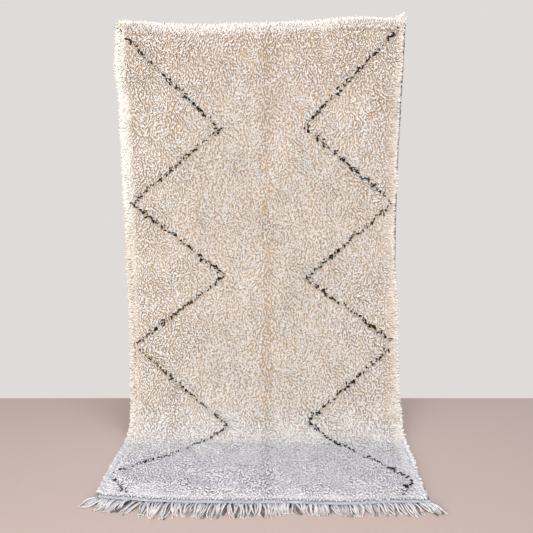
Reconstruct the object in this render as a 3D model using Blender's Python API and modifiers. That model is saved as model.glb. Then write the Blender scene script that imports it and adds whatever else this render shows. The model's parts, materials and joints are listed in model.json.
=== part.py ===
"""A thick-pile wool rug, hung by its top end, with its foot run out along the floor."""
import math

import bpy
import bmesh
from mathutils import Vector, noise

# ---- driving dimensions, in metres -------------------------------------------------
# The origin is the middle of the top edge, at the back of the rug. +X is the rug's
# right as one faces the pile, -Y is towards the viewer and +Z is up.
HANG_HEIGHT = 2.175          # top edge above the floor
WEAVE = 0.005                # thickness of the woven ground, bands and whipped edges
PILE_FULL = 0.038            # thickest lump of weave and pile together
PILE_MEAN = 0.028            # usual thickness of weave and pile
PILE_RIM = 0.022             # thickness along the four edges
LUMP_SIZE = 0.105            # size across one lump of the pile
LUMP_RISE = 0.0095           # how far a lump stands over its hollow
LUMP_LAYER = 3.7             # which slice of the noise the lumps are cut from
FINE_LUMPS = 0.5             # share that lumps of half the size add
RIM_LUMPS = 0.35             # share of a lump's rise that is left at the rim
RIM_BLEND = 0.07             # how far in from an edge the pile reaches its full height
GAP = 0.0003                 # clearance between pieces that touch

SELVEDGE_WIDTH = 0.010       # whipped edge, across
SELVEDGE_THICK = 0.008
HEM_TALL = 0.012             # flat band above the pile at the top end
HEM_TUFTED = 0.007           # its lower part, which the first tufts cover
BAND_DEEP = 0.032            # flat band in front of the pile at the foot end

FIELD_COLUMNS = 26           # cells of the pile slab across and along
FIELD_ROWS = 48
FRINGE_BUNCHES = 60          # each is a pair of strands
STRANDS_IN_BUNCH = 2
STRAND_ROOT = 0.0072         # width of a strand where it leaves the band
STRAND_TIP = 0.0050
STRAND_HIGH = 0.0060
STRAND_BLUNT = 0.85          # height of a strand's tip, as a share of its full height
FRINGE_VARY = 0.16           # how far bunches differ in length, as a share, and in lean, in radians
FRINGE_CURL = 0.20           # most radians that a strand turns between root and tip
PAIR_CLOSES = 0.022          # radians that the strands of a pair lean to each other
PAIR_UNEVEN = 0.05           # share by which one strand of a pair is longer

SIDE_LOCKS = FIELD_ROWS      # one beside each row of the pile's cells
HEAD_LOCKS = FIELD_COLUMNS   # one above each column
LOCK_WAIST = 0.55            # height of a lock's middle section, as a share of its height
LOCK_WIDTHS = (0.86, 0.55)   # its middle section against its root, its tip against that
LOCK_SPREAD = {"left": 0.010, "right": 0.003}   # how far the side locks lean outwards
LOCK_STRAY = 0.006           # and stray along the edge
HEAD_LOCK_RISE = 0.003       # how far the head's locks lean up
HEAD_LOCK_SWAY = 0.008       # and sideways

# How the rug lies: the line of its underside, from the top edge to the foot of the pile.
# height is above the floor, forward is from the wall side towards the viewer.
LAY = {
    "columns": ("place", "height", "forward"),
    "rows": (
        ("top edge", 2.175, 0.000),
        ("upper fall", 1.600, 0.000),
        ("leaves the wall", 0.950, 0.005),
        ("leaning out", 0.620, 0.048),
        ("above the knee", 0.300, 0.105),
        ("knee", 0.150, 0.138),
        ("bend", 0.070, 0.185),
        ("heel", 0.015, 0.255),
        ("lands", 0.000, 0.320),
        ("foot of the pile", 0.000, 0.805),
    ),
}

# The woven field's centre line and width, by the length of rug run from the top edge.
SPREAD = {
    "columns": ("run", "sway", "width"),
    "rows": (
        (0.00, 0.000, 1.452),
        (0.20, -0.006, 1.461),
        (0.42, -0.001, 1.441),
        (0.70, -0.003, 1.436),
        (1.00, 0.000, 1.432),
        (1.25, 0.002, 1.435),
        (1.55, 0.014, 1.438),
        (1.90, 0.021, 1.439),
        (2.10, 0.030, 1.443),
        (2.25, 0.026, 1.449),
        (2.45, 0.018, 1.459),
        (2.62, 0.014, 1.457),
        (2.80, 0.013, 1.452),
    ),
}

# The top edge is not level, and the foot edge is not straight.
TOP_EDGE = {
    "columns": ("x", "rise"),
    "rows": (
        (-0.76, 0.007),
        (-0.56, 0.000),
        (-0.31, -0.006),
        (0.00, 0.000),
        (0.20, 0.009),
        (0.40, 0.024),
        (0.52, 0.027),
        (0.63, 0.021),
        (0.76, 0.006),
    ),
}
FOOT_EDGE = {
    "columns": ("x", "ahead"),
    "rows": (
        (-0.76, -0.047),
        (-0.60, -0.028),
        (-0.45, -0.010),
        (-0.30, -0.002),
        (0.10, 0.000),
        (0.35, 0.012),
        (0.60, -0.004),
        (0.78, -0.004),
    ),
}
TOP_EDGE_REACH = 0.45        # length of rug over which the uneven top edge fades out
FOOT_EDGE_REACH = 0.50       # and the uneven foot edge

# The fringe: strand length and lean, in degrees from straight ahead, across the foot.
FRINGE = {
    "columns": ("x", "length", "lean"),
    "rows": (
        (-0.735, 0.085, -62.0),
        (-0.700, 0.100, -44.0),
        (-0.620, 0.105, -22.0),
        (-0.450, 0.122, -10.0),
        (-0.250, 0.106, -7.0),
        (0.000, 0.100, 2.0),
        (0.110, 0.080, 0.0),
        (0.300, 0.080, 4.0),
        (0.500, 0.098, 14.0),
        (0.660, 0.100, 26.0),
        (0.730, 0.100, 44.0),
        (0.765, 0.090, 60.0),
    ),
}

# Soft folds of the hanging cloth, which die out at its edges and on the floor.
FOLD_DEEP = 0.007
FOLD_WIDE = 0.52
FOLD_SLANT = 0.9             # radians that a fold drifts over one metre of fall
FOLD_STARTS = 0.5            # run over which the folds come in below the top edge
FOLD_ENDS = 2.05             # run where they are gone
FOLD_FADES = 0.6             # and the length over which they go

WOOL = (0.80, 0.74, 0.67)
WOVEN = (0.62, 0.63, 0.66)
WHIPPED = (0.20, 0.18, 0.18)


# ---- curves and tables ---------------------------------------------------------------
def through(points, steps=24):
    """A smooth line through points: centripetal Catmull-Rom."""
    ends = [2 * points[0] - points[1]] + list(points) + [2 * points[-1] - points[-2]]
    line = []
    for a, b, c, d in zip(ends, ends[1:], ends[2:], ends[3:]):
        t0 = 0.0
        t1 = t0 + max((b - a).length, 1e-6) ** 0.5
        t2 = t1 + max((c - b).length, 1e-6) ** 0.5
        t3 = t2 + max((d - c).length, 1e-6) ** 0.5
        for step in range(steps):
            t = t1 + (t2 - t1) * step / steps
            ab = a.lerp(b, (t - t0) / (t1 - t0))
            bc = b.lerp(c, (t - t1) / (t2 - t1))
            cd = c.lerp(d, (t - t2) / (t3 - t2))
            line.append(
                ab.lerp(bc, (t - t0) / (t2 - t0)).lerp(
                    bc.lerp(cd, (t - t1) / (t3 - t1)), (t - t1) / (t2 - t1)
                )
            )
    line.append(points[-1].copy())
    return line


def smooth_step(value):
    value = min(max(value, 0.0), 1.0)
    return value * value * (3.0 - 2.0 * value)


def look_up(table, name, at):
    """A column of a table at a value of its first column, eased between rows."""
    column = table["columns"].index(name)
    rows = table["rows"]
    if at <= rows[0][0]:
        return rows[0][column]
    for low, high in zip(rows, rows[1:]):
        if at <= high[0]:
            share = smooth_step((at - low[0]) / (high[0] - low[0]))
            return low[column] + (high[column] - low[column]) * share
    return rows[-1][column]


def lay_line():
    """The rug's underside in side view, as (run, height, forward) rows."""
    height = LAY["columns"].index("height")
    forward = LAY["columns"].index("forward")
    line = through([Vector((row[height], row[forward])) for row in LAY["rows"]])
    rows = []
    run = 0.0
    last = None
    for point in line:
        point.x = max(point.x, 0.0)
        if last is not None:
            run += (point - last).length
        rows.append((run, point.x, point.y))
        last = point
    return rows


LINE = lay_line()
RUN_LENGTH = LINE[-1][0]


def lay_at(run):
    """Height, forward and the two parts of the pile side's normal at a length of run."""
    first = 0
    while first < len(LINE) - 2 and LINE[first + 1][0] < run:
        first += 1
    low, high = LINE[first], LINE[first + 1]
    share = (run - low[0]) / (high[0] - low[0])
    place = Vector((low[1] + (high[1] - low[1]) * share, low[2] + (high[2] - low[2]) * share))
    before = LINE[max(first - 1, 0)]
    after = LINE[min(first + 2, len(LINE) - 1)]
    along = Vector((after[1] - before[1], after[2] - before[2])).normalized()
    return place.x, place.y, along.y, -along.x


def fold(x, run, half):
    """How far a soft fold carries the cloth off its line."""
    across = min(abs(x) / half, 1.0)
    fade = (1.0 - across ** 2) ** 2
    fade *= smooth_step(run / FOLD_STARTS) * smooth_step((FOLD_ENDS - run) / FOLD_FADES)
    swing = math.sin(2.0 * math.pi * x / FOLD_WIDE + FOLD_SLANT * run)
    return FOLD_DEEP * fade * 0.5 * (1.0 + swing)


def edge(run, side):
    """x of the woven field's left (-1) or right (+1) edge, straight along each cell."""
    cell = RUN_LENGTH / FIELD_ROWS
    first = math.floor(run / cell)
    low, high = (
        look_up(SPREAD, "sway", place * cell) + side * look_up(SPREAD, "width", place * cell) / 2.0
        for place in (first, first + 1)
    )
    return low + (high - low) * (run / cell - first)


def end_edge(table, name, x, run):
    """A value along an end of the rug, straight within each cell of the field."""
    left = edge(run, -1)
    cell = (edge(run, 1) - left) / FIELD_COLUMNS
    first = math.floor((x - left) / cell)
    low = look_up(table, name, left + first * cell)
    high = look_up(table, name, left + (first + 1) * cell)
    return low + (high - low) * ((x - left) / cell - first)


def cloth_point(x, run, off=0.0):
    """A point of the cloth: x across, run along it, off above its underside."""
    height, forward, up, ahead = lay_at(min(max(run, 0.0), RUN_LENGTH))
    height -= min(run, 0.0)
    forward += max(run - RUN_LENGTH, 0.0)
    half = look_up(SPREAD, "width", run) / 2.0
    off += fold(x - look_up(SPREAD, "sway", run), run, half)
    near_top = 1.0 - smooth_step(run / TOP_EDGE_REACH)
    near_foot = 1.0 - smooth_step((RUN_LENGTH - run) / FOOT_EDGE_REACH)
    height += end_edge(TOP_EDGE, "rise", x, 0.0) * near_top
    forward += end_edge(FOOT_EDGE, "ahead", x, RUN_LENGTH) * near_foot
    return Vector((x, -(forward + ahead * off), height + up * off - HANG_HEIGHT))


# ---- tools ---------------------------------------------------------------------------
def wool_material(name, colour, roughness=0.95):
    material = bpy.data.materials.new(name)
    material.use_nodes = True
    shader = material.node_tree.nodes["Principled BSDF"]
    shader.inputs["Base Color"].default_value = (*colour, 1.0)
    shader.inputs["Roughness"].default_value = roughness
    shader.inputs["Metallic"].default_value = 0.0
    material.diffuse_color = (*colour, 1.0)
    return material


def shaped_grid(name, columns, rows, place):
    """A grid whose point at column i and row j, counted from the top, is place(i, j)."""
    bpy.ops.mesh.primitive_grid_add(x_subdivisions=columns, y_subdivisions=rows, size=2.0)
    obj = bpy.context.active_object
    obj.name = name
    obj.data.name = name
    for vertex in obj.data.vertices:
        column = round((vertex.co.x + 1.0) / 2.0 * columns)
        row = round((1.0 - vertex.co.y) / 2.0 * rows)
        vertex.co = place(column, row)
    return obj


def thicken(obj, thickness, group=""):
    """Grow the sheet towards its pile side."""
    solid = obj.modifiers.new("thickness", "SOLIDIFY")
    solid.thickness = thickness
    solid.offset = 1.0
    solid.use_even_offset = False
    solid.vertex_group = group
    solid.thickness_vertex_group = 0.0


def settled(obj):
    """Replace an object's mesh by what its modifiers make of it."""
    ready = obj.evaluated_get(bpy.context.evaluated_depsgraph_get())
    mesh = bpy.data.meshes.new_from_object(ready)
    old = obj.data
    obj.modifiers.clear()
    obj.data = mesh
    bpy.data.meshes.remove(old)
    mesh.name = obj.name
    return mesh


def grow(bm, face, sections):
    """Extrude one face through a list of sections, each a place for every corner."""
    for section in sections:
        grown = bmesh.ops.extrude_discrete_faces(bm, faces=[face])
        face = grown["faces"][0]
        for vertex in face.verts:
            vertex.co = section(vertex.co)


def grow_lock(bm, face, rise, lean):
    """A blunt lock of wool on a face; rise is its height, lean how far its tip strays."""
    root = face.calc_center_median()
    waist = root + rise * LOCK_WAIST + lean / 2.0
    tip = root + rise + lean
    at_waist, at_tip = LOCK_WIDTHS
    grow(bm, face, [
        lambda co: waist + (co - root) * at_waist,
        lambda co: tip + (co - waist) * at_tip,
    ])


def nearest_face(bm, place):
    return min(bm.faces, key=lambda face: (face.calc_center_median() - place).length)


def finish(obj, collection, material):
    for owner in list(obj.users_collection):
        owner.objects.unlink(obj)
    collection.objects.link(obj)
    obj.data.materials.clear()
    obj.data.materials.append(material)


# ---- pieces --------------------------------------------------------------------------
def pile_thickness(x, run):
    """Weave and pile together, with lumps and a lower rim."""
    spot = Vector((x / LUMP_SIZE, run / LUMP_SIZE, LUMP_LAYER))
    lump = noise.noise(spot) + FINE_LUMPS * noise.noise(2.0 * spot)
    inside = min(edge(run, 1) - x, x - edge(run, -1), run, RUN_LENGTH - run)
    rise = smooth_step(inside / RIM_BLEND)
    thick = PILE_RIM + (PILE_MEAN - PILE_RIM) * rise
    return min(thick + LUMP_RISE * lump * (RIM_LUMPS + (1.0 - RIM_LUMPS) * rise), PILE_FULL)


def build_field(collection, material):
    spots = {}

    def place(column, row):
        run = RUN_LENGTH * row / FIELD_ROWS
        left = edge(run, -1)
        x = left + (edge(run, 1) - left) * column / FIELD_COLUMNS
        spots[(column, row)] = (x, run)
        return cloth_point(x, run)

    obj = shaped_grid("rug_pile", FIELD_COLUMNS, FIELD_ROWS, place)
    group = obj.vertex_groups.new(name="pile")
    wide = FIELD_COLUMNS + 1
    for vertex in obj.data.vertices:
        column = vertex.index % wide
        row = FIELD_ROWS - vertex.index // wide
        thick = pile_thickness(*spots[(column, row)])
        group.add([vertex.index], thick / PILE_FULL, "REPLACE")
    thicken(obj, PILE_FULL, "pile")
    finish(obj, collection, material)


def build_selvedge(name, side, collection, material):
    """The whipped edge on one side, with the rim's locks standing on its face."""
    rows = 2 * SIDE_LOCKS
    spread = LOCK_SPREAD["left" if side < 0 else "right"]

    def place(column, row):
        run = RUN_LENGTH * row / rows
        inner = edge(run, side) + side * GAP
        far = column if side > 0 else 1 - column
        return cloth_point(inner + side * SELVEDGE_WIDTH * far, run)

    obj = shaped_grid(name, 1, rows, place)
    thicken(obj, SELVEDGE_THICK)
    mesh = settled(obj)
    bm = bmesh.new()
    bm.from_mesh(mesh)
    chosen = []
    for lock in range(SIDE_LOCKS):
        run = RUN_LENGTH * (2 * lock + 0.5) / rows
        middle = edge(run, side) + side * (GAP + SELVEDGE_WIDTH / 2.0)
        chosen.append((run, nearest_face(bm, cloth_point(middle, run, SELVEDGE_THICK))))
    for run, face in chosen:
        _, _, up, ahead = lay_at(run)
        stray = LOCK_STRAY * noise.noise(Vector((9.0 * run, 5.0 * side, 1.0)))
        outward = side * spread * (1.0 + 0.5 * noise.noise(Vector((23.0 * run, 3.0 * side, 6.0))))
        rise = Vector((0.0, -ahead, up)) * (pile_thickness(edge(run, side), run) - SELVEDGE_THICK)
        grow_lock(bm, face, rise, Vector((outward, -up * stray, -ahead * stray)))
    bm.to_mesh(mesh)
    bm.free()
    finish(obj, collection, material)


def field_x(share, run):
    """x at a share of the whole width, over the whipped edges too."""
    trim = GAP + SELVEDGE_WIDTH
    left = edge(run, -1) - trim
    return left + (edge(run, 1) + trim - left) * share


def build_head_hem(collection, material):
    """The flat band over the pile's top edge, with a row of locks on its lower part."""
    columns = 2 * HEAD_LOCKS + 2
    levels = (-(GAP + HEM_TALL), -(GAP + HEM_TUFTED), -GAP)

    def column_x(column):
        if column in (0, columns):
            return field_x(column / columns, 0.0)
        return edge(0.0, -1) + (edge(0.0, 1) - edge(0.0, -1)) * (column - 1) / (columns - 2)

    def place(column, row):
        return cloth_point(column_x(column), levels[row])

    obj = shaped_grid("head_hem", columns, len(levels) - 1, place)
    thicken(obj, WEAVE)
    mesh = settled(obj)
    bm = bmesh.new()
    bm.from_mesh(mesh)
    chosen = []
    for lock in range(HEAD_LOCKS):
        x = (column_x(2 * lock + 1) + column_x(2 * lock + 2)) / 2.0
        chosen.append(nearest_face(bm, cloth_point(x, (levels[1] + levels[2]) / 2.0, WEAVE)))
    for face in chosen:
        sway = HEAD_LOCK_SWAY * noise.noise(Vector((11.0 * face.calc_center_median().x, 2.0, 4.0)))
        grow_lock(bm, face, Vector((0.0, WEAVE - PILE_RIM, 0.0)), Vector((sway, 0.0, HEAD_LOCK_RISE)))
    bm.to_mesh(mesh)
    bm.free()
    finish(obj, collection, material)


def strand_sections(root, angle, curl, length):
    """The middle and the tip of a strand that lies level on the floor."""
    floor = -HANG_HEIGHT
    sections = []
    place = root.copy()
    heights = (1.0, STRAND_BLUNT)
    for number, share in enumerate(heights):
        turn = angle + curl * number
        ahead = Vector((math.sin(turn), -math.cos(turn), 0.0))
        beside = Vector((math.cos(turn), math.sin(turn), 0.0))
        before = place.copy()
        place = place + ahead * length / len(heights)
        width = STRAND_ROOT + (STRAND_TIP - STRAND_ROOT) * (number + 1) / len(heights)
        high = STRAND_HIGH * share

        def section(co, old=before, new=place.copy(), side=beside, half=width / 2.0, top=high):
            across = (co - old).dot(side)
            level = floor + (top if co.z > floor + WEAVE / 2.0 else 0.0)
            flat = new + side * math.copysign(half, across)
            return Vector((flat.x, flat.y, level))

        sections.append(section)
    return sections


def build_foot_fringe(collection, material):
    """The flat end band in front of the pile, and the warp ends that leave it."""
    strands = FRINGE_BUNCHES * STRANDS_IN_BUNCH
    columns = 2 * strands + 1
    whole = field_x(1.0, RUN_LENGTH) - field_x(0.0, RUN_LENGTH)
    space = (whole - strands * STRAND_ROOT) / (strands + 1)

    def column_x(column):
        pairs, odd = divmod(column, 2)
        return field_x(0.0, RUN_LENGTH) + pairs * (STRAND_ROOT + space) + odd * space

    def place(column, row):
        return cloth_point(column_x(column), RUN_LENGTH + GAP + BAND_DEEP * row)

    obj = shaped_grid("foot_fringe", columns, 1, place)
    thicken(obj, WEAVE)
    mesh = settled(obj)
    bm = bmesh.new()
    bm.from_mesh(mesh)
    chosen = []
    for strand in range(strands):
        x = column_x(2 * strand + 1) + STRAND_ROOT / 2.0
        chosen.append(nearest_face(bm, cloth_point(x, RUN_LENGTH + GAP + BAND_DEEP, WEAVE / 2.0)))
    for strand, face in enumerate(chosen):
        bunch, inside = divmod(strand, STRANDS_IN_BUNCH)
        root = face.calc_center_median()
        half = inside - (STRANDS_IN_BUNCH - 1) / 2.0
        mark = Vector((0.61 * bunch, 8.0, 2.0))
        length = look_up(FRINGE, "length", root.x)
        length *= 1.0 + FRINGE_VARY * noise.noise(mark) + PAIR_UNEVEN * half
        lean = math.radians(look_up(FRINGE, "lean", root.x))
        lean += FRINGE_VARY * noise.noise(0.7 * mark + Vector((0.0, 5.0, 0.0)))
        lean -= 2.0 * PAIR_CLOSES * half
        curl = FRINGE_CURL * noise.noise(0.6 * mark + Vector((0.0, 0.0, 9.0)))
        grow(bm, face, strand_sections(root, lean, curl, length))
    bm.to_mesh(mesh)
    bm.free()
    finish(obj, collection, material)


def main():
    for obj in list(bpy.data.objects):
        bpy.data.objects.remove(obj, do_unlink=True)
    collection = bpy.data.collections.new("beni_ourain_rug")
    bpy.context.scene.collection.children.link(collection)
    build_field(collection, wool_material("cream_pile", WOOL))
    build_selvedge("left_selvedge", -1, collection, wool_material("whipping_left", WHIPPED))
    build_selvedge("right_selvedge", 1, collection, wool_material("whipping_right", WHIPPED))
    build_head_hem(collection, wool_material("hem_weave", WOVEN))
    build_foot_fringe(collection, wool_material("end_weave", WOVEN))


main()
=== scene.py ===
import json
import math

import bpy
import numpy as np
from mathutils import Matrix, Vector, noise

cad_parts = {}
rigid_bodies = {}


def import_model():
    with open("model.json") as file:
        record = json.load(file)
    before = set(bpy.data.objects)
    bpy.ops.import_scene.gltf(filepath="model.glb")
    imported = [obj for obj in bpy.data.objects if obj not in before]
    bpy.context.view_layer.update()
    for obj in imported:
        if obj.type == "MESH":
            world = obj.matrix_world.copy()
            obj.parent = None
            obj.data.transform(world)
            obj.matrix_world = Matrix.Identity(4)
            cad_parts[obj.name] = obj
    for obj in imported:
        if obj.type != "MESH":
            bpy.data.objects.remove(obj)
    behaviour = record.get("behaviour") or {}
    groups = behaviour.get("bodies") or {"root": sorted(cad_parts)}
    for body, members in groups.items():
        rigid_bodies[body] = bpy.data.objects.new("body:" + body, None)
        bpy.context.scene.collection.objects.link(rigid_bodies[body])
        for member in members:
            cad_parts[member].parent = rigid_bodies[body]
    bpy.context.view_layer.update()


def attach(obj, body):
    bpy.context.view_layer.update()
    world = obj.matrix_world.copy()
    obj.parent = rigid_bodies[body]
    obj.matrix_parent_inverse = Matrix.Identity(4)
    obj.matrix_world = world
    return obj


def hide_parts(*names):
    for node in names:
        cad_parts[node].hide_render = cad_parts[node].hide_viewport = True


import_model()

print("stage: frame loaded")

body = "root"            # nothing on a rug moves by itself, so every piece rides here


# The rug's measures and the way it lies. Metres; z = 0 is the top edge, the wall side is +y.
rug = {
    "hangHeight": 2.175,
    "weave": 0.005,          # woven ground
    "pileFull": 0.038,       # thickest lump, weave and pile together
    "pileMean": 0.028,
    "pileRim": 0.022,        # along the four edges
    "rimBlend": 0.07,        # how far in from an edge the pile reaches its full height
    "lumpSize": 0.105,
    "lumpRise": 0.0095,
    "lumpLayer": 3.7,        # which slice of the noise the lumps are cut from
    "fineLumps": 0.5,        # share that lumps of half the size add
    "rimLumps": 0.35,        # share of a lump's rise that is left at the rim
    "gap": 0.0003,
    "edgeWide": 0.010,       # whipped edge
    "edgeThick": 0.008,
    "hemTall": 0.012,        # flat band above the pile
    "bandDeep": 0.032,       # flat band in front of the pile
    "lay": [                 # height above the floor, forward from the wall side
        (2.175, 0.000), (1.600, 0.000), (0.950, 0.005), (0.620, 0.048), (0.300, 0.105),
        (0.150, 0.138), (0.070, 0.185), (0.015, 0.255), (0.000, 0.320), (0.000, 0.805),
    ],
    "spread": [              # run from the top edge, sway of the centre line, woven width
        (0.00, 0.000, 1.452), (0.20, -0.006, 1.461), (0.42, -0.001, 1.441), (0.70, -0.003, 1.436),
        (1.00, 0.000, 1.432), (1.25, 0.002, 1.435), (1.55, 0.014, 1.438), (1.90, 0.021, 1.439),
        (2.10, 0.030, 1.443), (2.25, 0.026, 1.449), (2.45, 0.018, 1.459), (2.62, 0.014, 1.457),
        (2.80, 0.013, 1.452),
    ],
    "topEdge": [             # x, rise of the top edge there
        (-0.76, 0.007), (-0.56, 0.000), (-0.31, -0.006), (0.00, 0.000), (0.20, 0.009),
        (0.40, 0.024), (0.52, 0.027), (0.63, 0.021), (0.76, 0.006),
    ],
    "topEdgeReach": 0.45,    # run over which it fades out
    "headDrop": 0.018,       # how far the head of the pile hangs below z = 0
    "footEdge": [            # x, how far ahead the foot edge lies there
        (-0.76, -0.047), (-0.60, -0.028), (-0.45, -0.010), (-0.30, -0.002), (0.10, 0.000),
        (0.35, 0.012), (0.60, -0.004), (0.78, -0.004),
    ],
    "footEdgeReach": 0.50,
    "foldDeep": 0.007,       # slack folds of the hanging part
    "foldWide": 0.52,
    "foldSlant": 0.9,
    "foldFrom": 0.5,         # run by which the folds are at their deepest
    "foldUntil": (2.05, 0.6),  # run where they end, and over what length they fade
}


def smoothStep(value):
    value = np.clip(value, 0.0, 1.0)
    return value * value * (3.0 - 2.0 * value)


def lookUp(table, column, at):
    # a column of a table at values of its first one, eased between rows
    keys = np.array([row[0] for row in table])
    values = np.array([row[column] for row in table])
    at = np.clip(np.asarray(at, float), keys[0], keys[-1])
    low = np.clip(np.searchsorted(keys, at, side="right") - 1, 0, len(keys) - 2)
    share = smoothStep((at - keys[low]) / (keys[low + 1] - keys[low]))
    return values[low] + (values[low + 1] - values[low]) * share


def throughPoints(points, steps=24):
    # smooth line through points, centripetal, so it doesn't loop at tight bends
    points = [Vector(p) for p in points]
    ends = [2 * points[0] - points[1], *points, 2 * points[-1] - points[-2]]
    line = []
    for a, b, c, d in zip(ends, ends[1:], ends[2:], ends[3:]):
        t1 = max((b - a).length, 1e-6) ** 0.5
        t2 = t1 + max((c - b).length, 1e-6) ** 0.5
        t3 = t2 + max((d - c).length, 1e-6) ** 0.5
        for step in range(steps):
            t = t1 + (t2 - t1) * step / steps
            ab = a.lerp(b, t / t1)
            bc = b.lerp(c, (t - t1) / (t2 - t1))
            cd = c.lerp(d, (t - t2) / (t3 - t2))
            first = ab.lerp(bc, t / t2)
            second = bc.lerp(cd, (t - t1) / (t3 - t1))
            line.append(first.lerp(second, (t - t1) / (t2 - t1)))
    line.append(points[-1])
    return np.array([tuple(p) for p in line])


def layLine():
    sideView = throughPoints(rug["lay"])
    sideView[:, 0] = np.maximum(sideView[:, 0], 0.0)
    step = np.linalg.norm(np.diff(sideView, axis=0), axis=1)
    run = np.concatenate([[0.0], np.cumsum(step)])
    slope = np.gradient(sideView, run, axis=0)
    slope /= np.linalg.norm(slope, axis=1)[:, None]
    return run, sideView, slope


lineRun, lineView, lineSlope = layLine()
runLength = lineRun[-1]
floorZ = -rug["hangHeight"]


def fieldEdge(run, side):
    return lookUp(rug["spread"], 1, run) + side * lookUp(rug["spread"], 2, run) / 2.0


def clothFrame(run):
    # the way down the rug and the way out of its pile side, as unit vectors
    run = np.clip(run, 0.0, runLength)
    down = np.stack([np.interp(run, lineRun, lineSlope[:, k]) for k in (0, 1)], axis=-1)
    down /= np.linalg.norm(down, axis=-1, keepdims=True)
    zero = np.zeros_like(down[..., 0])
    along = np.stack([zero, -down[..., 1], down[..., 0]], axis=-1)
    out = np.stack([zero, down[..., 0], down[..., 1]], axis=-1)
    return along, out


def clothPlace(x, run, off):
    # a point of the rug: x across, run along it from the top edge, off above its underside
    x, run, off = np.broadcast_arrays(np.asarray(x, float), np.asarray(run, float), np.asarray(off, float))
    within = np.clip(run, 0.0, runLength)
    height = np.interp(within, lineRun, lineView[:, 0]) - np.minimum(run, 0.0)
    forward = np.interp(within, lineRun, lineView[:, 1]) + np.maximum(run - runLength, 0.0)
    sway = lookUp(rug["spread"], 1, run)
    half = lookUp(rug["spread"], 2, run) / 2.0
    across = np.minimum(np.abs(x - sway) / half, 1.0)
    end, length = rug["foldUntil"]
    fade = (1.0 - across ** 2) ** 2 * smoothStep(run / rug["foldFrom"]) * smoothStep((end - run) / length)
    swing = np.sin(2.0 * np.pi * (x - sway) / rug["foldWide"] + rug["foldSlant"] * run)
    off = off + rug["foldDeep"] * fade * 0.5 * (1.0 + swing)
    nearTop = 1.0 - smoothStep(run / rug["topEdgeReach"])
    nearFoot = 1.0 - smoothStep((runLength - run) / rug["footEdgeReach"])
    height = height + (lookUp(rug["topEdge"], 1, x) - rug["headDrop"]) * nearTop
    forward = forward + lookUp(rug["footEdge"], 1, x) * nearFoot
    flat = np.stack([x, -forward, height - rug["hangHeight"]], axis=-1)
    return flat + clothFrame(run)[1] * off[..., None]


def noiseOn(x, run, size, layer):
    # smooth noise over the cloth: about -1 to 1, one swell per size
    points = np.stack([x / size, run / size, np.full(len(x), layer)], axis=1)
    return np.array([noise.noise(Vector(p)) for p in points])


def insideEdges(x, run):
    return np.minimum.reduce([fieldEdge(run, 1) - x, x - fieldEdge(run, -1), run, runLength - run])


def outerEdges(run):
    # x of the left and right side, whipped edges and all
    trim = rug["gap"] + rug["edgeWide"]
    return fieldEdge(run, -1) - trim, fieldEdge(run, 1) + trim


def pileThickness(x, run):
    # weave and pile together, with lumps and a lower rim
    size, layer, left = rug["lumpSize"], rug["lumpLayer"], rug["rimLumps"]
    lump = noiseOn(x, run, size, layer) + rug["fineLumps"] * noiseOn(x, run, size / 2, 2 * layer)
    rise = smoothStep(insideEdges(x, run) / rug["rimBlend"])
    thick = rug["pileRim"] + (rug["pileMean"] - rug["pileRim"]) * rise
    return np.minimum(thick + rug["lumpRise"] * lump * (left + (1.0 - left) * rise), rug["pileFull"])


# Mesh helpers
def meshObject(name, points, faces, material=None, smooth=True):
    mesh = bpy.data.meshes.new(name)
    mesh.from_pydata([tuple(p) for p in points], [], faces)
    mesh.update()
    if smooth:
        mesh.shade_smooth()
    if material:
        mesh.materials.append(material)
    obj = bpy.data.objects.new(name, mesh)
    bpy.context.scene.collection.objects.link(obj)
    return obj


def setAttribute(mesh, name, kind, values, domain="POINT"):
    attribute = mesh.attributes.get(name) or mesh.attributes.new(name, kind, domain)
    key = "vector" if kind == "FLOAT_VECTOR" else "value"
    attribute.data.foreach_set(key, np.asarray(values, np.float32).ravel())


def tube(path, radii, sides, pointed=True):
    # a closed round shape along path, flat at its near end and pointed or flat at its far end
    path = np.asarray(path, float)
    way = np.gradient(path, axis=0)
    way /= np.linalg.norm(way, axis=1)[:, None]
    beside = np.cross(way, (0.0, 1.0, 0.03))
    beside /= np.linalg.norm(beside, axis=1)[:, None]
    other = np.cross(way, beside)
    rings = len(path) - 1 if pointed else len(path)
    turn = 2.0 * np.pi * np.arange(sides) / sides
    points = []
    for ring in range(rings):
        circle = np.cos(turn)[:, None] * beside[ring] + np.sin(turn)[:, None] * other[ring]
        points.extend(path[ring] + radii[ring] * circle)
    faces = [tuple(reversed(range(sides)))]
    for ring in range(rings - 1):
        for side in range(sides):
            a = ring * sides + side
            b = ring * sides + (side + 1) % sides
            faces.append((a, b, b + sides, a + sides))
    last = (rings - 1) * sides
    if pointed:
        points.append(path[-1])
        faces.extend((last + side, last + (side + 1) % sides, last + sides) for side in range(sides))
    else:
        faces.append(tuple(last + side for side in range(sides)))
    ring = np.arange(len(points)) // sides
    return np.array(points), faces, ring / (len(path) - 1)


def slab(x, run, bottom, top):
    # a closed slab over a grid of places, from one height above the rug's underside to another
    rows, wide = x.shape
    low = clothPlace(x, run, bottom).reshape(-1, 3)
    high = clothPlace(x, run, top).reshape(-1, 3)
    count = len(low)
    faces = []
    for j in range(rows - 1):
        for i in range(wide - 1):
            a = j * wide + i
            faces.append((a, a + 1, a + 1 + wide, a + wide))
            faces.append((count + a, count + a + wide, count + a + 1 + wide, count + a + 1))
    last = (rows - 1) * wide
    for i in range(wide - 1):
        faces.append((i, count + i, count + i + 1, i + 1))
        faces.append((last + i, last + i + 1, count + last + i + 1, count + last + i))
    for j in range(rows - 1):
        a = j * wide
        faces.append((a, a + wide, count + a + wide, count + a))
        a += wide - 1
        faces.append((a, count + a, count + a + wide, a + wide))
    return np.concatenate([low, high]), faces


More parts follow.
